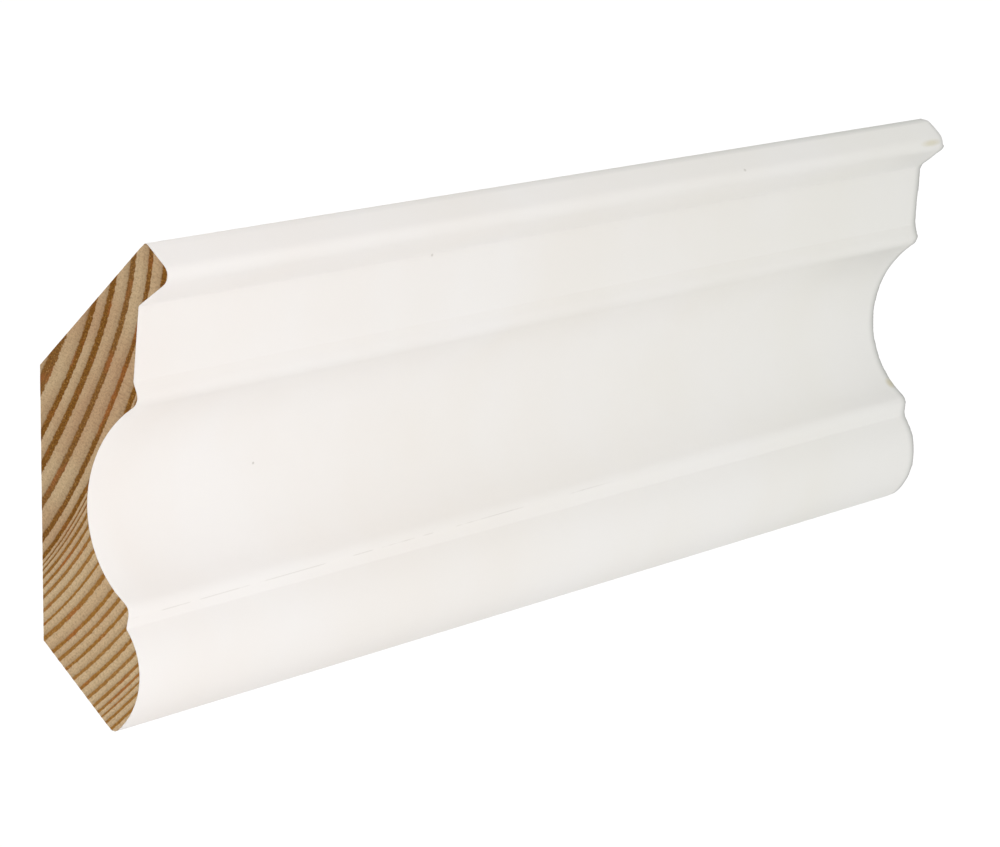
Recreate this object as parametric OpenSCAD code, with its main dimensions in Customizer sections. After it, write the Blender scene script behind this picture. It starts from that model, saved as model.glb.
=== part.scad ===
// A short length of crown moulding, milled from one piece of softwood and painted on its show side.
// All sizes are in millimetres. X runs along the length, -Y faces the room and Z is up.
// The section is drawn as [thickness, height]: thickness is measured out from the flat back,
// and height up from the toe. The origin is the middle of the face that seats on the wall.

/* [Overall] */
// Length of the moulding, end to end
length = 320; // [60:1:1200]
// Height, from the toe to the top arris
face_h = 92; // [76:0.5:140]
// Greatest thickness, from the back to the nose
body_t = 29.4; // [24.5:0.1:45]

/* [Faces that seat on the wall and the ceiling] */
// Angle between the flat back and the wall that the moulding leans from
spring_angle = 45; // [38:1:52]
// Thickness at the toe, where the wall face ends
toe_t = 15.6; // [13:0.1:18]
// Width of the eased flat under the toe
toe_flat = 1.2; // [0.4:0.1:2]

/* [Nose and frieze] */
// Radius of the top arris
arris_r = 0.7; // [0.3:0.1:1.5]
// Radius of the nose
nose_r = 2.5; // [1:0.1:3]
// Width of the flat top edge between the arris and the nose
edge_w = 5.2; // [2:0.1:8]
// From the top arris down to the head of the frieze
frieze_drop = 11.7; // [9:0.1:14]
// Thickness at the head of the frieze
frieze_t = 22.85; // [20:0.05:24]
// Height of the frieze
frieze_h = 14.2; // [8:0.1:18]
// Thickness at the foot of the frieze
frieze_foot_t = 21.5; // [20:0.05:22]

/* [Step under the frieze] */
// Greatest thickness of the step
step_t = 22.35; // [22:0.05:24]
// Radius of the step's round
step_r = 2.45; // [1.5:0.05:2.8]
// From the foot of the frieze down to the middle of the round
step_drop = 2.8; // [2.5:0.1:4]

/* [Cove] */
// Thickness left behind the middle of the cove
waist_t = 10.7; // [8:0.1:14]
// Thickness at the foot of the cove
cove_foot_t = 16.8; // [15:0.1:18]
// Height of the foot of the cove
cove_foot_z = 26.5; // [25.5:0.1:29]

/* [Bead and toe] */
// Greatest thickness of the bead
bead_t = 19.85; // [19:0.05:21]
// Radius of the bead
bead_r = 2.5; // [1.5:0.1:3]
// Height of the middle of the bead
bead_z = 22.65; // [22:0.05:24]
// Thickness at the bottom of the quirk between bead and toe
quirk_t = 19.3; // [18:0.05:20]
// Height of the quirk
quirk_z = 19.75; // [17:0.05:19.9]
// Thickness where the toe's swell is fullest
swell_t = 22.2; // [20:0.1:25]
// Height where the toe's swell is fullest
swell_z = 11.2; // [9:0.1:13]

/* [Hidden] */
paint = [0.957, 0.945, 0.922];

// Share of the step's round that shows under its widest point, as an angle.
step_sweep = 60;
// How far the flats that make up an arc may fall inside it.
arc_gap = 0.02;

function angle_of(v) = atan2(v.y, v.x);
function on_circle(middle, r, angle) = middle + r * [cos(angle), sin(angle)];

// Points along an arc, both ends included.
function arc(middle, r, from, to) =
    let (steps = ceil(abs(to - from) / (2 * acos(1 - arc_gap / r))))
    [for (i = [0:steps]) on_circle(middle, r, from + (to - from) * i / steps)];

// A list without its first and last points.
function inner(points) = [for (i = [1:len(points) - 2]) points[i]];

// Angle on a circle where the line from an outside point touches it; side is 1 or -1.
function touch_angle(middle, r, p, side) =
    angle_of(p - middle) + side * acos(min(1, r / norm(p - middle)));

// Middle of the circle through three points.
function middle_of(a, b, c) =
    let (
        ab = b - a,
        ac = c - a,
        twist = 2 * (ab.x * ac.y - ab.y * ac.x)
    )
    a + [ac.y * (ab * ab) - ab.y * (ac * ac), ab.x * (ac * ac) - ac.x * (ab * ab)] / twist;

// Up and out along the ceiling face, and down and out along the top edge, square to it.
along_ceiling = [cos(spring_angle), sin(spring_angle)];
down_edge = [along_ceiling.y, -along_ceiling.x];

// Top arris: its highest point is at face_h, and the ceiling face runs back from it.
arris_to_nose = edge_w * down_edge + (arris_r - nose_r) * along_ceiling;
arris = [body_t - nose_r - arris_to_nose.x, face_h - arris_r];
arris_back = arris - arris_r * down_edge;
ceiling_foot = [0, arris_back.y - arris_back.x * tan(spring_angle)];

// Nose: its round touches the top edge and the slope that runs in to the frieze.
nose = arris + arris_to_nose;
frieze_head = [frieze_t, face_h - frieze_drop];
nose_under = touch_angle(nose, nose_r, frieze_head, 1);

// Step: a small round that stands out from the foot of the frieze.
frieze_foot = [frieze_foot_t, frieze_head.y - frieze_h];
step_middle = [step_t - step_r, frieze_foot.y - step_drop];
step_over = touch_angle(step_middle, step_r, frieze_foot, -1);

// Cove: one hollow arc from the step to its foot.
cove_head = on_circle(step_middle, step_r, -step_sweep);
cove_foot = [cove_foot_t, cove_foot_z];
cove_deep = [waist_t, (cove_head.y + cove_foot.y) / 2];
cove_middle = middle_of(cove_head, cove_deep, cove_foot);
cove_r = norm(cove_head - cove_middle);

// Bead: it touches the lip under the cove and the side of the quirk.
bead = [bead_t - bead_r, bead_z];
quirk = [quirk_t, quirk_z];
bead_over = touch_angle(bead, bead_r, cove_foot, -1);
bead_under = touch_angle(bead, bead_r, quirk, 1);

// Toe: one full arc from the quirk to the eased flat, and the wall face behind that.
toe = [toe_t, 0];
swell_foot = [toe_t + toe_flat, 0];
swell_middle = middle_of(quirk, [swell_t, swell_z], swell_foot);
swell_r = norm(swell_foot - swell_middle);
wall_head = [0, toe_t / tan(spring_angle)];

// The whole section, from the back round the top and down the show side to the toe.
function section() = concat(
    [wall_head, ceiling_foot],
    arc(arris, arris_r, angle_of(-down_edge), angle_of(along_ceiling)),
    arc(nose, nose_r, angle_of(along_ceiling), nose_under),
    [frieze_head, frieze_foot],
    arc(step_middle, step_r, step_over, -step_sweep),
    inner(arc(
        cove_middle, cove_r,
        angle_of(cove_head - cove_middle), angle_of(cove_foot - cove_middle) + 360
    )),
    [cove_foot],
    arc(bead, bead_r, bead_over, bead_under),
    arc(
        swell_middle, swell_r,
        angle_of(quirk - swell_middle), angle_of(swell_foot - swell_middle)
    ),
    [toe]
);

module crown_moulding() {
    color(paint)
        translate([0, toe_t / 2, -wall_head.y / 2])
            rotate([90, 0, -90])
                linear_extrude(height = length, center = true) polygon(section());
}

crown_moulding();
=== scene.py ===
import math
from bisect import bisect_right

import bmesh
import bpy
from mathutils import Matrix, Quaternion, Vector, noise


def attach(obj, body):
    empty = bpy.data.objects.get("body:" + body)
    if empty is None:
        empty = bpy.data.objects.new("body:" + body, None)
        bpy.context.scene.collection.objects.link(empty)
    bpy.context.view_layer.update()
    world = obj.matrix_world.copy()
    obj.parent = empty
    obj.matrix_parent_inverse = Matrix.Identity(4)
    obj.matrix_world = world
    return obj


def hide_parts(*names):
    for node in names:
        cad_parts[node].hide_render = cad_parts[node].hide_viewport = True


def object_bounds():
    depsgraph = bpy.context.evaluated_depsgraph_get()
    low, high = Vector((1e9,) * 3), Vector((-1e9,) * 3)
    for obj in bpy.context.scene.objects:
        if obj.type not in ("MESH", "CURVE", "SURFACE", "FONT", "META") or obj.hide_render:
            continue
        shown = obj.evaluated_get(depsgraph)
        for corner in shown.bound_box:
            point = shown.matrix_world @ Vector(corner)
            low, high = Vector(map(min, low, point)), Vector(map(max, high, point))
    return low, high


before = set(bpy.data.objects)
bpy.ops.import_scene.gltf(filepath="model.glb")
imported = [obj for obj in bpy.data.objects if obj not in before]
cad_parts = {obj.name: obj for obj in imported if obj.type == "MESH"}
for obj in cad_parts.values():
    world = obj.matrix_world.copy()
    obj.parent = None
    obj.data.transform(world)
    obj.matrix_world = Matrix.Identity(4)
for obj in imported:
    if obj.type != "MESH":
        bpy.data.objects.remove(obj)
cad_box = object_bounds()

# A length of pine crown moulding, primed white on its show side and over one end, and fresh
# from the saw at the other. It is modelled as three pieces: the planed stock, the first few
# millimetres behind the saw cut, and the film of primer. Blender's lengths are in metres, and
# MM turns millimetres into them. The moulding lies along X, from the sawn end at low.x to the
# painted end at high.x, with its back at high.y and its top edge at high.z.

MM = 0.001
NODE = "crown_moulding"
low, high = (Vector(corner) for corner in cad_box)

FILM = 0.09 * MM          # thickness of the primer, two coats
FILLET = 0.25 * MM        # how far the primer fills and eases the section's corners
TOE_ROUND = 0.5 * MM      # how far the toe's two corners are rubbed round
RUBBED = 5 * MM           # how far back the painted end's arrises are rubbed round
RUBS = 18                 # strokes all over the rubbed end
TOP_RUBS = 30             # and strokes more on its top corner,
TOP = high.z - 6.5 * MM   # which is all above this height
SLAB = 3 * MM             # depth of the piece behind the saw cut

ROW = 4 * MM              # mesh pitch along the length
COLUMN = 1.2 * MM         # across the faces
RUB_GRID = 0.8 * MM       # on the rubbed end
CUT_GRID = 0.3 * MM       # on the saw cut
NEAR = 0.01 * MM          # closer than this is the same place along the length
FLAT = math.radians(0.2)  # faces that meet at less than this are one face
ON_PLANE = 1e-7           # closer than this to a cutting plane is on it
SHARP = math.radians(32)  # a corner sharper than this shows as an arris


# ---------------------------------------------------------------- the wood's growth rings

# Where the heart of the tree was at the saw cut, in millimetres on the section: through the
# thickness from the back, and up from the toe.
HEART = (-72.5, 102.0)
DRIFT = (7.5, 3.0)     # how far it moves aside over the length
MEAN_RADIUS = 100      # of the rings in this length, in millimetres
# The rings wander a little as they go up, and wave along the length (all in millimetres).
WANDER, WANDER_PITCH, WANDER_AT = 0.75, 60.0, 57.5
WAVE, WAVE_ALONG, WAVE_ACROSS = 1.1, 70, 30

# Each year's dark latewood band: how far its middle lies beyond the last one, and its width.
FIRST_BAND = 78.4
YEARS = (
    (0.0, 1.0), (4.2, 2.1), (4.8, 1.1), (3.2, 1.3), (3.8, 1.1), (3.9, 0.9), (2.3, 0.8),
    (0.9, 0.25), (0.7, 0.25), (1.0, 0.55), (1.3, 0.5), (1.5, 0.55), (2.0, 0.6), (2.1, 0.4),
    (2.3, 0.85), (3.2, 0.7), (2.1, 0.65), (2.4, 0.6), (2.5, 0.55), (2.4, 0.65), (2.4, 0.6),
    (2.0, 0.6), (1.5, 0.5), (1.2, 0.35), (1.4, 0.5), (1.6, 0.5), (1.8, 0.5), (1.6, 0.5),
)
BAND = 0.15            # half a band's width, in years
BAND_EDGE = 0.03       # how soft its edge is, in years
LEAN = (98.8, 102.0)   # radii over which the lean years begin
FIRST_AGE = -10.0      # the heart's age, counted from the first band
OUTERMOST, LAST_AGE = 400.0, 150.0     # past every ring, and years after the last band


def year_marks():
    """Radii of the bands' inner and outer edges, and the age at each."""
    radii, ages = [0.0], [FIRST_AGE]
    middle = FIRST_BAND
    for year, (gap, width) in enumerate(YEARS):
        middle += gap
        radii += [middle - width / 2, middle + width / 2]
        ages += [year - BAND, year + BAND]
    return radii + [OUTERMOST], ages + [ages[-1] + LAST_AGE]


RADII, AGES = year_marks()


def ramp(value, start, stop):
    """0 before the start, 1 after the stop, and even between them."""
    return max(0.0, min(1.0, (value - start) / (stop - start)))


def grain_at(point):
    """Distance from the heart, distance round it and distance along it, in millimetres."""
    along = (point.x - low.x) / MM
    through = (high.y - point.y) / MM
    up = (point.z - low.z) / MM
    share = along / ((high.x - low.x) / MM)
    through -= HEART[0] + DRIFT[0] * share
    lift = up - HEART[1] - DRIFT[1] * share
    radius = math.hypot(through, lift)
    radius += WANDER * math.cos(math.tau * (WANDER_AT - up) / WANDER_PITCH)
    # the waves start at the saw cut, where the rings are as the years give them
    wave = Vector((along / WAVE_ALONG, through / WAVE_ACROSS, lift / WAVE_ACROSS))
    still = Vector((0, through / WAVE_ACROSS, lift / WAVE_ACROSS))
    radius += WAVE * (noise.noise(wave) - noise.noise(still))
    # the lean years were fuller in the upper half of the section
    fuller = 1.5 * ramp(up, 44, 56) - 0.3 * ramp(up, 66, 78)
    radius -= fuller * ramp(radius, *LEAN)
    return radius, math.atan2(lift, through) * MEAN_RADIUS, along


def age_at(radius):
    """The year in which the wood at this radius grew: whole in the middle of a dark band."""
    i = min(bisect_right(RADII, radius) - 1, len(RADII) - 2)
    share = (radius - RADII[i]) / (RADII[i + 1] - RADII[i])
    return AGES[i] + share * (AGES[i + 1] - AGES[i])


def latewood(age):
    """1 in a dark band, 0 between bands."""
    away = abs(age - round(age))
    return max(0.0, min(1.0, (BAND + BAND_EDGE - away) / (2 * BAND_EDGE)))


# ---------------------------------------------------------------- the moulding's shape


def cad_tube():
    """The CAD moulding's long faces, from a merged copy of its mesh, open at both ends."""
    bm = bmesh.new()
    bm.from_mesh(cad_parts[NODE].data)
    bmesh.ops.remove_doubles(bm, verts=bm.verts, dist=NEAR / 2)
    bmesh.ops.dissolve_limit(bm, angle_limit=FLAT, verts=bm.verts, edges=bm.edges)
    bm.normal_update()
    ends = [f for f in bm.faces if abs(f.normal.x) > 0.9]
    bmesh.ops.delete(bm, geom=ends, context="FACES_ONLY")
    return bm


def is_raw(normal):
    """True for the back and the two planed faces beside it, at 45 degrees, that meet the
    wall and the ceiling."""
    return normal.y > 0.6


def is_long(edge):
    """True for an edge that runs along the moulding."""
    a, b = (v.co for v in edge.verts)
    return abs(a.x - b.x) > 0.9 * (a - b).length


def width_of(face):
    """A long face's width across the section."""
    return min(e.calc_length() for e in face.edges if not is_long(e))


def once(parts):
    """Each part of a mesh once, in order, so that the mesh comes out the same each time."""
    return list(dict.fromkeys(parts))


def ease(bm, edges, reach):
    """Rounds some of the section's corners."""
    bmesh.ops.bevel(
        bm, geom=edges, offset=reach, offset_type="OFFSET", affect="EDGES",
        segments=3, profile=0.5, material=-1, clamp_overlap=True,
    )
    bm.normal_update()


def soften(bm):
    """Rubs the toe's corners round, and eases the painted side's other hard corners, as two
    coats of primer do. Corners between narrow faces belong to curves, and are left alone."""
    toe = [f for f in bm.faces if f.normal.z < -0.95]
    ease(bm, once(e for f in toe for e in f.edges if is_long(e)), TOE_ROUND)
    hard, narrow = math.radians(16), 0.9 * MM
    ease(bm, [
        e for e in bm.edges
        if is_long(e) and len(e.link_faces) == 2
        and e.calc_face_angle() > hard
        and not any(is_raw(f.normal) for f in e.link_faces)
        and min(width_of(f) for f in e.link_faces) > narrow
    ], FILLET)


def crosscut(bm, axis, start, stop, pitch, beyond=-math.inf):
    """Cuts the mesh across an axis, evenly, without parting it; beyond limits it to the
    faces past that place along the length."""
    count = max(1, round((stop - start) / pitch))
    normal = Vector((axis == 0, axis == 1, axis == 2))
    for i in range(1, count):
        at = normal * (start + (stop - start) * i / count)
        faces = [f for f in bm.faces if all(v.co.x > beyond - NEAR for v in f.verts)]
        edges = once(e for f in faces for e in f.edges)
        verts = once(v for f in faces for v in f.verts)
        bmesh.ops.bisect_plane(
            bm, geom=verts + edges + faces, dist=ON_PLANE, plane_co=at, plane_no=normal
        )


def round_end(bm):
    """Closes the painted end and rubs its arrises round."""
    rim = [e for e in bm.edges if all(v.co.x > high.x - NEAR for v in e.verts)]
    bmesh.ops.contextual_create(bm, geom=rim)
    start = high.x - RUBBED
    bmesh.ops.bisect_plane(
        bm, geom=bm.verts[:] + bm.edges[:] + bm.faces[:], dist=ON_PLANE,
        plane_co=Vector((start, 0, 0)), plane_no=Vector((1, 0, 0)),
    )
    for axis in range(3):
        crosscut(bm, axis, (start, low.y, low.z)[axis], high[axis], RUB_GRID, start)
    for sweep in range(RUBS + TOP_RUBS):
        worn = [
            v for v in bm.verts
            if v.co.x > start + NEAR and (sweep < RUBS or v.co.z > TOP)
        ]
        bmesh.ops.smooth_vert(
            bm, verts=worn, factor=0.5, use_axis_x=True, use_axis_y=True, use_axis_z=True
        )
    bm.normal_update()


def widen(bm, pitch):
    """Divides the wide long faces lengthwise, so that no strip is wider than the pitch."""
    for face in bm.faces[:]:
        cuts = math.ceil(width_of(face) / pitch) - 1
        if cuts > 0:
            short = [e for e in face.edges if not is_long(e)]
            bmesh.ops.subdivide_edges(bm, edges=short, cuts=cuts, use_grid_fill=True)
    bm.normal_update()


def body():
    """The whole moulding as a clean mesh: eased, with its painted end rounded, and open at
    the sawn end."""
    bm = cad_tube()
    soften(bm)
    widen(bm, COLUMN)
    round_end(bm)
    return bm


def bare_faces(bm):
    """The long faces that were left unpainted, before they're cut across."""
    middle = (low.x + high.x) / 2
    return [f for f in bm.faces if is_raw(f.normal) and min(v.co.x for v in f.verts) < middle]


def inward(faces):
    """The way into the wood where the faces meet, long enough to sink each of them by 1."""
    total = sum((f.normal for f in faces), Vector())
    total.normalize()
    return -total / max(0.5, min(total.dot(f.normal) for f in faces))


def settle(bm):
    """Puts the mesh's parts in order of place, because some operators leave them in a
    different order each time."""
    for parts, place in (
        (bm.verts, lambda v: v.co[:]),
        (bm.edges, lambda e: (e.verts[0].co + e.verts[1].co)[:]),
        (bm.faces, lambda f: f.calc_center_median()[:]),
    ):
        for i, part in enumerate(sorted(parts, key=place)):
            part.index = i
        parts.sort()


def finish(bm, name, material):
    """Makes the mesh a piece of the moulding, with the grain at each point noted on it."""
    settle(bm)
    mesh = bpy.data.meshes.new(name)
    bm.to_mesh(mesh)
    bm.free()
    mesh.materials.append(material)
    for polygon in mesh.polygons:
        polygon.use_smooth = True
    mesh.set_sharp_from_angle(angle=SHARP)
    places = [grain_at(vertex.co) for vertex in mesh.vertices]
    mesh.attributes.new("grain", "FLOAT_VECTOR", "POINT")
    mesh.attributes["grain"].data.foreach_set("vector", [n for place in places for n in place])
    mesh.attributes.new("age", "FLOAT", "POINT")
    mesh.attributes["age"].data.foreach_set("value", [age_at(place[0]) for place in places])
    piece = bpy.data.objects.new(name, mesh)
    bpy.context.scene.collection.objects.link(piece)
    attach(piece, "root")
    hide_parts(NODE)


whole = body()


# ---------------------------------------------------------------- materials


def hex_colour(code):
    """An sRGB hex colour as a linear one."""
    parts = [int(code[i:i + 2], 16) / 255 for i in (1, 3, 5)]
    return [c / 12.92 if c <= 0.04045 else ((c + 0.055) / 1.055) ** 2.4 for c in parts] + [1]


def add(tree, kind, inputs=None, stops=None, **settings):
    """Adds a node with its settings; its inputs are plain values, or sockets to link."""
    node = tree.nodes.new("ShaderNode" + kind)
    for name, value in settings.items():
        setattr(node, name, value)
    for name, value in (inputs or {}).items():
        if isinstance(value, bpy.types.NodeSocket):
            tree.links.new(value, node.inputs[name])
        else:
            node.inputs[name].default_value = value
    if stops:
        elements = node.color_ramp.elements
        while len(elements) < len(stops):
            elements.new(0.5)
        for element, (position, colour) in zip(elements, stops):
            element.position = position
            element.color = hex_colour(colour)
    return node


def new_material(name):
    """A new material, its tree of nodes and its shader."""
    material = bpy.data.materials.new(name)
    material.use_nodes = True
    tree = material.node_tree
    return material, tree, tree.nodes["Principled BSDF"]


KNIFE_PITCH = 1.6      # the planer's knife marks, in millimetres
MIST = 14 * MM         # how far the mist of primer has drifted past the paint


def pine():
    """Plantation pine, sawn at the end and planed on the long faces, left bare: pale straw
    earlywood, narrow brown latewood with a hard outer edge, matt and slightly furry."""
    material, tree, shader = new_material("Bare pine")
    age = add(tree, "Attribute", attribute_name="age").outputs["Fac"]
    grain = add(tree, "Attribute", attribute_name="grain").outputs["Vector"]
    # the bands' edges are ragged by a few cells of wood, about 0.1 mm
    ragged = add(tree, "Mapping", {"Vector": grain, "Scale": (1.6, 1.1, 0.03)}).outputs[0]
    rough = add(tree, "TexNoise", {"Vector": ragged, "Scale": 1, "Detail": 3}).outputs["Fac"]
    shift = add(tree, "Math", {0: rough, 1: 0.2, 2: 0.4}, operation="MULTIPLY_ADD").outputs[0]
    moved = add(tree, "Math", {0: age, 1: shift}, operation="ADD").outputs[0]
    phase = add(tree, "Math", {0: moved}, operation="FRACT").outputs[0]
    year = add(tree, "Math", {0: moved}, operation="FLOOR").outputs[0]
    band = add(
        tree, "ValToRGB", {"Fac": phase},
        stops=((0, "#000000"), (0.28, "#1C1C1C"), (0.365, "#FFFFFF"), (0.63, "#FFFFFF"),
               (0.665, "#000000")),
    ).outputs["Color"]
    # each year's latewood has its own depth of colour
    own = add(tree, "TexWhiteNoise", {"W": year}, noise_dimensions="1D").outputs["Value"]
    depth = add(tree, "Math", {0: own, 1: 0.08, 2: 0.92}, operation="MULTIPLY_ADD").outputs[0]
    # slow changes of colour over a hand's breadth
    wide = add(tree, "Mapping", {"Vector": grain, "Scale": (0.09, 0.06, 0.01)}).outputs[0]
    drift = add(tree, "TexNoise", {"Vector": wide, "Scale": 1, "Detail": 2}).outputs["Fac"]
    plain = add(tree, "ValToRGB", {"Fac": drift},
                stops=((0.34, "#C6A27C"), (0.5, "#CAAA83"), (0.66, "#D0B48D"))).outputs["Color"]
    # the later, narrower years have paler earlywood
    later_years = {"Value": age, "From Min": 5.0, "From Max": 12.0}
    pale = add(tree, "MapRange", {**later_years, "To Max": 0.45}).outputs[0]
    straw = add(tree, "MixRGB", {"Fac": pale, "Color1": plain,
                                 "Color2": hex_colour("#E2C89E")}).outputs[0]
    # earlywood is palest just outside a dark band, and deepens towards the next one
    deepening = add(
        tree, "ValToRGB", {"Fac": phase},
        stops=((0, "#F6F6F6"), (0.2, "#E6E4E2"), (0.35, "#CFCCC8"), (0.67, "#FFFFFF")),
    ).outputs["Color"]
    early = add(tree, "MixRGB", {"Fac": 0.75, "Color1": straw, "Color2": deepening},
                blend_type="MULTIPLY").outputs[0]
    # wood fibres cut across are specks about 0.25 mm wide; cut along they are long streaks
    fibre = add(tree, "Mapping", {"Vector": grain, "Scale": (2.6, 2.6, 0.05)}).outputs[0]
    speck = add(tree, "TexNoise", {"Vector": fibre, "Scale": 1, "Detail": 4,
                                   "Roughness": 0.65}).outputs["Fac"]
    dark = add(tree, "ValToRGB", {"Fac": speck},
               stops=((0.3, "#704202"), (0.55, "#85550A"), (0.75, "#B08440"))).outputs["Color"]
    # and lighter, yellower latewood
    later = add(tree, "MapRange", {**later_years, "To Max": 0.6}).outputs[0]
    golden = add(tree, "MixRGB", {"Fac": later, "Color1": dark,
                                  "Color2": hex_colour("#B47F36")}).outputs[0]
    # resin has stained the latewood rusty in places
    blot = add(tree, "Mapping", {"Vector": grain, "Scale": (0.3, 0.12, 0.02)}).outputs[0]
    stain = add(tree, "TexNoise", {"Vector": blot, "Scale": 1, "Detail": 2}).outputs["Fac"]
    rust = add(tree, "MapRange", {"Value": stain, "From Min": 0.55, "From Max": 0.68,
                                  "To Max": 0.5}).outputs[0]
    rusty = add(tree, "MixRGB", {"Fac": rust, "Color1": golden,
                                 "Color2": hex_colour("#B0622C")}).outputs[0]
    # resin canals are pale pores about 0.25 mm across, shown in the latewood only
    canal = add(tree, "Mapping", {"Vector": grain, "Scale": (1.5, 1.5, 0.03)}).outputs[0]
    pores = add(tree, "TexVoronoi", {"Vector": canal, "Scale": 1}).outputs["Distance"]
    pore = add(tree, "MapRange", {"Value": pores, "From Min": 0.08, "From Max": 0.26,
                                  "To Min": 0.5, "To Max": 0.0}).outputs[0]
    late = add(tree, "MixRGB", {"Fac": pore, "Color1": rusty,
                                "Color2": hex_colour("#CFA468")}).outputs[0]
    cover = add(tree, "Math", {0: band, 1: depth}, operation="MULTIPLY").outputs[0]
    wood = add(tree, "MixRGB", {"Fac": cover, "Color1": early, "Color2": late}).outputs[0]
    # every fibre has a shade of its own
    shade = add(tree, "ValToRGB", {"Fac": speck},
                stops=((0.34, "#CFCBC6"), (0.5, "#F2F1F0"), (0.66, "#FFFFFF"))).outputs["Color"]
    flecked = add(tree, "MixRGB", {"Fac": 0.9, "Color1": wood, "Color2": shade},
                  blend_type="MULTIPLY").outputs[0]
    # rays run out from the heart
    fan = add(tree, "Mapping", {"Vector": grain, "Scale": (0.4, 1.9, 0.12)}).outputs[0]
    ray = add(tree, "TexNoise", {"Vector": fan, "Scale": 1, "Detail": 3}).outputs["Fac"]
    lines = add(tree, "ValToRGB", {"Fac": ray},
                stops=((0.36, "#E6DED4"), (0.5, "#FFFFFF"))).outputs["Color"]
    rayed = add(tree, "MixRGB", {"Fac": 0.35, "Color1": flecked, "Color2": lines},
                blend_type="MULTIPLY").outputs[0]
    # a mist of primer has drifted onto the bare faces beside the painted end
    place = add(tree, "TexCoord").outputs["Object"]
    length = add(tree, "SeparateXYZ", {"Vector": place}).outputs["X"]
    near = add(tree, "MapRange", {"Value": length, "From Min": high.x - RUBBED - MIST,
                                  "From Max": high.x - RUBBED}).outputs[0]
    drops = add(tree, "TexNoise", {"Vector": place, "Scale": 1 / (2.5 * MM), "Detail": 2})
    thick = add(tree, "Math", {0: near, 1: drops.outputs["Fac"]}, operation="MULTIPLY").outputs[0]
    mist = add(tree, "MapRange", {"Value": thick, "From Min": 0.1, "From Max": 0.7,
                                  "To Max": 0.7}).outputs[0]
    misted = add(tree, "MixRGB", {"Fac": mist, "Color1": rayed,
                                  "Color2": hex_colour("#EBE8E2")}).outputs[0]
    tree.links.new(misted, shader.inputs["Base Color"])
    shader.inputs["Roughness"].default_value = 0.8
    shader.inputs["Specular IOR Level"].default_value = 0.2
    # latewood stands proud, and the planer's knives left a ripple every 1.6 mm along
    along = add(tree, "SeparateXYZ", {"Vector": grain}).outputs["Z"]
    knives = add(tree, "Math", {0: along, 1: math.tau / KNIFE_PITCH},
                 operation="MULTIPLY").outputs[0]
    ripple = add(tree, "Math", {0: knives}, operation="SINE").outputs[0]
    rippled = add(tree, "Math", {0: ripple, 1: 0.12, 2: speck},
                  operation="MULTIPLY_ADD").outputs[0]
    height = add(tree, "Math", {0: cover, 1: 0.7, 2: rippled}, operation="MULTIPLY_ADD").outputs[0]
    bump = add(tree, "Bump", {"Height": height, "Strength": 0.35, "Distance": 0.08 * MM})
    tree.links.new(bump.outputs["Normal"], shader.inputs["Normal"])
    return material


PAINTED_SHADE_GREY = "#90938F"         # grey painted on as shade at the rounded end and the top arris
HAIRLINE_HEIGHT = 15.0 * MM    # height of the hairline at the middle of the length
HAIRLINE_RISE = 0.0078         # how much it climbs along the length
HAIRLINE_WIDTH = 0.12 * MM     # half its width

# Small marks on the primer: colour, place, size along, through and up (mm), and strength.
MARKS = (
    ("#CDC5A2", (151.0, -21.6, 78.9), (6.0, 2.2, 1.0), 0.5),
    ("#CAC19C", (157.4, -8.2, 19.6), (2.2, 2.0, 1.6), 0.6),
    ("#8F887C", (-105.9, -2.9, 35.1), (0.5, 0.5, 0.35), 0.45),
    ("#9A9284", (59.6, -21.2, 79.9), (0.7, 0.7, 0.4), 0.4),
    ("#9A9284", (-59.8, -15.0, 72.2), (0.6, 0.6, 0.4), 0.4),
)


def spot(tree, place, centre, size, depth):
    """How strongly a soft-edged spot shows: its centre and size are in millimetres."""
    away = add(tree, "VectorMath", {0: place, 1: Vector(centre) * MM}, operation="SUBTRACT")
    scaled = add(tree, "VectorMath", {0: away.outputs[0], 1: [1 / (n * MM) for n in size]},
                 operation="MULTIPLY")
    far = add(tree, "VectorMath", {0: scaled.outputs[0]}, operation="LENGTH").outputs["Value"]
    return add(tree, "MapRange", {"Value": far, "From Min": 0.3, "From Max": 1.0,
                                  "To Min": depth, "To Max": 0.0}).outputs[0]


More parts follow.
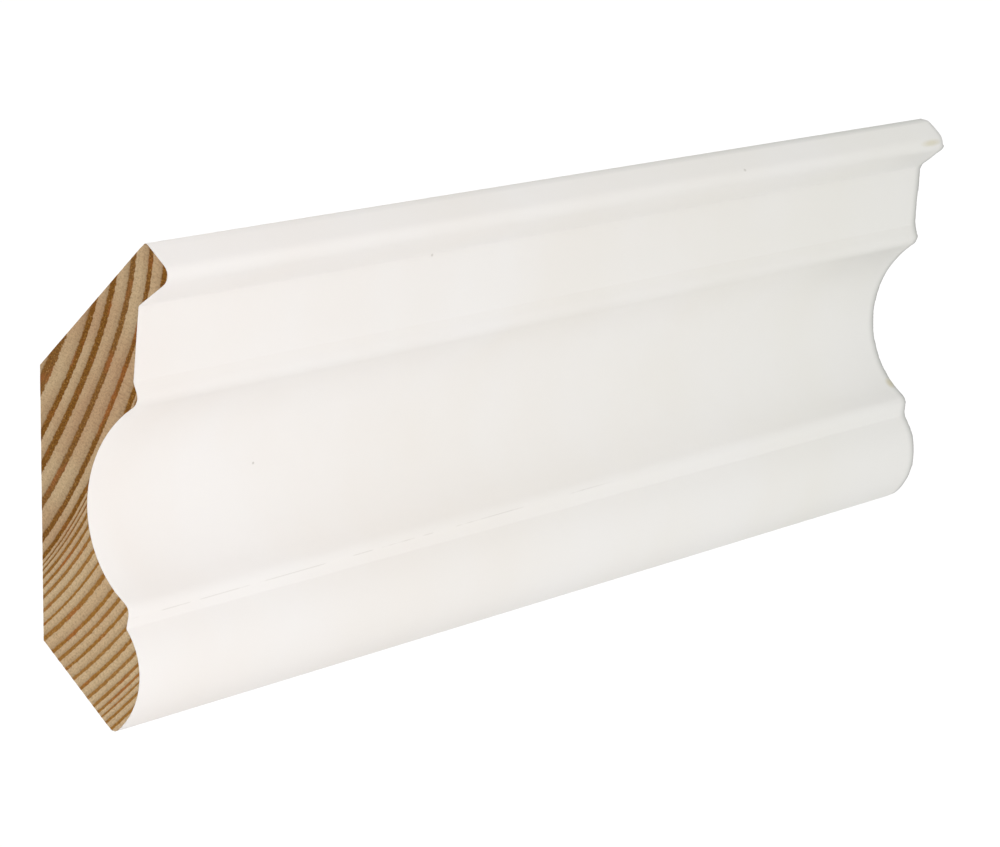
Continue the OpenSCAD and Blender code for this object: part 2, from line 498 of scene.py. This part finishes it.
def primer():
    """White acrylic primer, sprayed and rubbed down: a soft white, satin, with a faint
    orange peel about 1 mm across that hides the grain."""
    material, tree, shader = new_material("White primer")
    place = add(tree, "TexCoord").outputs["Object"]
    # clouds about 45 mm across, where the coats are a little thicker or thinner
    cloud = add(tree, "TexNoise", {"Vector": place, "Scale": 22, "Detail": 3}).outputs["Fac"]
    warm = add(tree, "ValToRGB", {"Fac": cloud},
               stops=((0.35, "#EDE7E2"), (0.65, "#EEEAE7"))).outputs["Color"]
    cool = add(tree, "ValToRGB", {"Fac": cloud},
               stops=((0.35, "#EAE9E3"), (0.65, "#EBEAE6"))).outputs["Color"]
    # painted light: the white is a little warmer towards the sawn end, standing in for the warmer
    # light that falls there
    length = add(tree, "SeparateXYZ", {"Vector": place}).outputs["X"]
    along = add(tree, "MapRange", {"Value": length, "From Min": low.x,
                                   "From Max": high.x}).outputs[0]
    colour = add(tree, "MixRGB", {"Fac": along, "Color1": warm, "Color2": cool}).outputs[0]
    # painted shade: grey is painted onto the rubbed round edge of the painted end
    rim = add(tree, "MapRange", {"Value": length, "From Min": high.x - RUBBED,
                                 "From Max": high.x - 0.5 * MM}).outputs[0]
    edge = add(tree, "Math", {0: rim, 1: 2.2}, operation="POWER").outputs[0]
    # its flat face much less
    flat = add(tree, "MapRange", {"Value": length, "From Min": high.x - 0.3 * MM,
                                  "From Max": high.x - 0.05 * MM, "To Min": 0.95,
                                  "To Max": 0.1}).outputs[0]
    rim_shade = add(tree, "Math", {0: edge, 1: flat}, operation="MULTIPLY").outputs[0]
    colour = add(tree, "MixRGB", {"Fac": rim_shade, "Color1": colour,
                                  "Color2": hex_colour(PAINTED_SHADE_GREY)}).outputs[0]
    # painted shade: grey painted along the top arris too, most of all towards the painted end
    height = add(tree, "SeparateXYZ", {"Vector": place}).outputs["Z"]
    crest = add(tree, "MapRange", {"Value": height, "From Min": high.z - 1.0 * MM,
                                   "From Max": high.z - 0.1 * MM, "To Max": 0.4}).outputs[0]
    arris_shade = add(tree, "Math", {0: crest, 1: along}, operation="MULTIPLY").outputs[0]
    colour = add(tree, "MixRGB", {"Fac": arris_shade, "Color1": colour,
                                  "Color2": hex_colour(PAINTED_SHADE_GREY)}).outputs[0]
    # worn through to beige in two places near the painted end, and three dark specks
    for tint, centre, size, depth in MARKS:
        shown = spot(tree, place, centre, size, depth)
        colour = add(tree, "MixRGB", {"Fac": shown, "Color1": colour,
                                      "Color2": hex_colour(tint)}).outputs[0]
    # a broken grey hairline is painted along the bead, in dashes
    # about 10 mm long, from the sawn end to just past the middle
    rise = add(tree, "VectorMath", {0: place, 1: (-HAIRLINE_RISE, 0, 1)}, operation="DOT_PRODUCT")
    line = add(tree, "Math", {0: rise.outputs["Value"], 1: HAIRLINE_HEIGHT, 2: HAIRLINE_WIDTH},
               operation="COMPARE").outputs[0]
    dashes = add(tree, "Mapping", {"Vector": place, "Scale": (90, 30, 30)}).outputs[0]
    broken = add(tree, "TexNoise", {"Vector": dashes, "Scale": 1, "Detail": 3}).outputs["Fac"]
    dash = add(tree, "MapRange", {"Value": broken, "From Min": 0.48, "From Max": 0.56,
                                  "To Max": 0.2}).outputs[0]
    fading = add(tree, "MapRange", {"Value": length, "From Min": 5 * MM, "From Max": 20 * MM,
                                    "To Min": 1.0, "To Max": 0.0}).outputs[0]
    hairline_dashes = add(tree, "Math", {0: line, 1: dash}, operation="MULTIPLY").outputs[0]
    hair = add(tree, "Math", {0: hairline_dashes, 1: fading}, operation="MULTIPLY").outputs[0]
    colour = add(tree, "MixRGB", {"Fac": hair, "Color1": colour,
                                  "Color2": hex_colour("#A39C90")}).outputs[0]
    tree.links.new(colour, shader.inputs["Base Color"])
    rough = add(tree, "MapRange", {"Value": cloud, "To Min": 0.42, "To Max": 0.52}).outputs[0]
    tree.links.new(rough, shader.inputs["Roughness"])
    peel = add(tree, "TexNoise", {"Vector": place, "Scale": 1 / (1.1 * MM), "Detail": 2})
    bump = add(tree, "Bump", {"Height": peel.outputs["Fac"], "Strength": 0.12,
                              "Distance": 0.03 * MM})
    tree.links.new(bump.outputs["Normal"], shader.inputs["Normal"])
    shader.inputs["Specular IOR Level"].default_value = 0.4
    return material


bare_pine = pine()
white_primer = primer()


# ---------------------------------------------------------------- the primer


def make_film():
    """The primer over the show side and the painted end."""
    bm = whole.copy()
    bmesh.ops.delete(bm, geom=bare_faces(bm), context="FACES")
    crosscut(bm, 0, low.x, high.x - RUBBED, ROW)
    bmesh.ops.recalc_face_normals(bm, faces=bm.faces)
    bmesh.ops.solidify(bm, geom=bm.faces[:], thickness=FILM)
    bmesh.ops.recalc_face_normals(bm, faces=bm.faces)
    finish(bm, "primer_film", white_primer)


# ---------------------------------------------------------------- the wood


# The saw cut's relief, all in millimetres.
BLADE = (-118, 30)        # where the blade's axle was, out in front of the show side
TEETH = 1.15              # pitch of the arcs that its teeth left
ARC, TEAR = 0.008, 0.02   # how deep the arcs and the torn fibres go
FIBRES = 1.6              # torn fibres to the millimetre
SUNK, PROUD = 0.05, 0.03  # how far the earlywood lies back, and the latewood less than it


def saw_marks(bm):
    """The cut face: hard latewood stands up, earlywood is torn a little lower, and the
    blade, 250 mm across, has left faint arcs."""
    for v in [v for v in bm.verts if v.co.x < low.x + NEAR]:
        y, z = v.co.y / MM, v.co.z / MM
        arcs = math.sin(math.tau * math.hypot(y - BLADE[0], z - BLADE[1]) / TEETH)
        torn = noise.noise(Vector((y * FIBRES, z * FIBRES, 0)))
        late = latewood(age_at(grain_at(v.co)[0]))
        v.co.x += (SUNK + ARC * arcs + TEAR * torn - PROUD * late) * MM


def make_wood():
    """The planed stock, and the slab behind the saw cut as a piece of its own."""
    bm = whole.copy()
    bare = set(bare_faces(bm))
    # under the primer, the wood lies back by the film's thickness
    under = {v: [f for f in v.link_faces if f not in bare] for v in bm.verts}
    sink = {v: inward(faces) * FILM for v, faces in under.items() if faces}
    for v, shift in sink.items():
        v.co += shift
    rim = [e for e in bm.edges if all(v.co.x < low.x + NEAR for v in e.verts)]
    bmesh.ops.contextual_create(bm, geom=rim)
    split = Vector((low.x + SLAB, 0, 0))
    slab = bm.copy()
    for mesh, keep_near in ((bm, False), (slab, True)):
        cut = bmesh.ops.bisect_plane(
            mesh, geom=mesh.verts[:] + mesh.edges[:] + mesh.faces[:], dist=ON_PLANE,
            plane_co=split, plane_no=Vector((1, 0, 0)),
            clear_outer=keep_near, clear_inner=not keep_near,
        )
        edges = [g for g in cut["geom_cut"] if isinstance(g, bmesh.types.BMEdge)]
        bmesh.ops.contextual_create(mesh, geom=edges)
    crosscut(bm, 0, low.x + SLAB, high.x - RUBBED, 2 * ROW)
    bmesh.ops.recalc_face_normals(bm, faces=bm.faces)
    finish(bm, "pine_stock", bare_pine)
    crosscut(slab, 2, low.z, high.z, CUT_GRID)
    crosscut(slab, 1, low.y, high.y, CUT_GRID)
    saw_marks(slab)
    bmesh.ops.recalc_face_normals(slab, faces=slab.faces)
    finish(slab, "sawn_end", bare_pine)


make_film()
make_wood()


# ---------------------------------------------------------------- floor, light and camera

WHITE = (1, 1, 1, 1)
PAPER = 1.05           # brightness of the backdrop, enough to come out white
FLOOR_HALF = 14        # half the floor's width, in metres
FLOOR_DROP = 2         # metres from the moulding down to the floor
ROOM = 1.84            # brightness of the room that lights the moulding
DIM = 0.05 * ROOM      # and of its wall past the painted end

# The floor is only seen. It's far enough down to leave the underside in view, and it
# neither lights the moulding nor shines in it.
pale_floor = bpy.data.materials.new("Pale floor")
pale_floor.use_nodes = True
tree = pale_floor.node_tree
glow = add(tree, "Emission", {"Color": WHITE, "Strength": PAPER})
tree.links.new(glow.outputs[0], tree.nodes["Material Output"].inputs["Surface"])
bm = bmesh.new()
bmesh.ops.create_grid(bm, x_segments=1, y_segments=1, size=FLOOR_HALF)
bmesh.ops.translate(bm, verts=bm.verts, vec=(0, 0, low.z - FLOOR_DROP))
mesh = bpy.data.meshes.new("floor")
bm.to_mesh(mesh)
bm.free()
mesh.materials.append(pale_floor)
floor = bpy.data.objects.new("floor", mesh)
floor.visible_diffuse = False
floor.visible_glossy = False
bpy.context.scene.collection.objects.link(floor)

world = bpy.data.worlds.new("Studio")
world.use_nodes = True
tree = world.node_tree
tree.nodes.clear()
# the camera sees plain white, and the moulding is lit by a room that is bright in front,
# brighter behind, and dim past the painted end and before the sawn one
way = add(tree, "TexCoord").outputs["Generated"]
to_end = add(tree, "VectorMath", {0: way, 1: (1, 0, 0)}, operation="DOT_PRODUCT")
past = add(tree, "MapRange", {"Value": to_end.outputs["Value"], "From Min": 0.04,
                              "From Max": 0.48, "To Min": ROOM, "To Max": DIM}).outputs[0]
to_back = add(tree, "VectorMath", {0: way, 1: (0, 0.95, -0.3)}, operation="DOT_PRODUCT")
behind = add(tree, "MapRange", {"Value": to_back.outputs["Value"], "From Min": 0.15,
                                "From Max": 0.6, "To Min": 1.0, "To Max": 2.4}).outputs[0]
before = add(tree, "MapRange", {"Value": to_end.outputs["Value"], "From Min": -0.7,
                                "From Max": -0.1, "To Min": 0.08, "To Max": 1.0}).outputs[0]
shaded = add(tree, "Math", {0: past, 1: before}, operation="MULTIPLY").outputs[0]
room = add(tree, "Math", {0: shaded, 1: behind}, operation="MULTIPLY").outputs[0]
soft = add(tree, "Background", {"Color": WHITE, "Strength": room})
plain = add(tree, "Background", {"Color": WHITE, "Strength": PAPER})
path = add(tree, "LightPath")
mix = add(tree, "MixShader", {0: path.outputs["Is Camera Ray"], 1: soft.outputs[0],
                              2: plain.outputs[0]})
out = add(tree, "OutputWorld")
tree.links.new(mix.outputs[0], out.inputs["Surface"])
bpy.context.scene.world = world


def softbox(name, place, wide, tall, watts):
    """A studio light, out of the camera's sight, aimed at the middle of the moulding."""
    light = bpy.data.lights.new(name, "AREA")
    light.shape = "RECTANGLE"
    light.size, light.size_y = wide, tall
    light.energy = watts
    lamp = bpy.data.objects.new(name, light)
    lamp.location = place
    lamp.visible_camera = False
    aim = (low + high) / 2 - Vector(place)
    lamp.rotation_euler = aim.to_track_quat("-Z", "Y").to_euler()
    bpy.context.scene.collection.objects.link(lamp)


softbox("key", (-0.75, -0.7, 0.1), 0.5, 1.2, 5)
softbox("beyond", (0.55, 0.3, 0.1), 0.4, 0.4, 0.4)      # lights the painted end's face
softbox("under", (0, -0.05, -0.07), 0.7, 0.03, 0.022)   # lifts the toe's underside

AZIMUTH, ELEVATION, ROLL = (math.radians(a) for a in (-58.419, 8.565, 0.068))
STAND = (-0.86133, -0.52382, 0.18097)
FOCAL, SENSOR = 171.14, 36     # in millimetres
lens = bpy.data.cameras.new("camera")
lens.sensor_width = SENSOR
lens.lens = FOCAL
camera = bpy.data.objects.new("camera", lens)
camera.rotation_mode = "QUATERNION"
turn = Quaternion((0, 0, 1), AZIMUTH) @ Quaternion((1, 0, 0), math.pi / 2 - ELEVATION)
camera.rotation_quaternion = turn @ Quaternion((0, 0, 1), ROLL)
camera.location = STAND
bpy.context.scene.collection.objects.link(camera)
bpy.context.scene.camera = camera
bpy.context.scene.view_settings.view_transform = "Standard"
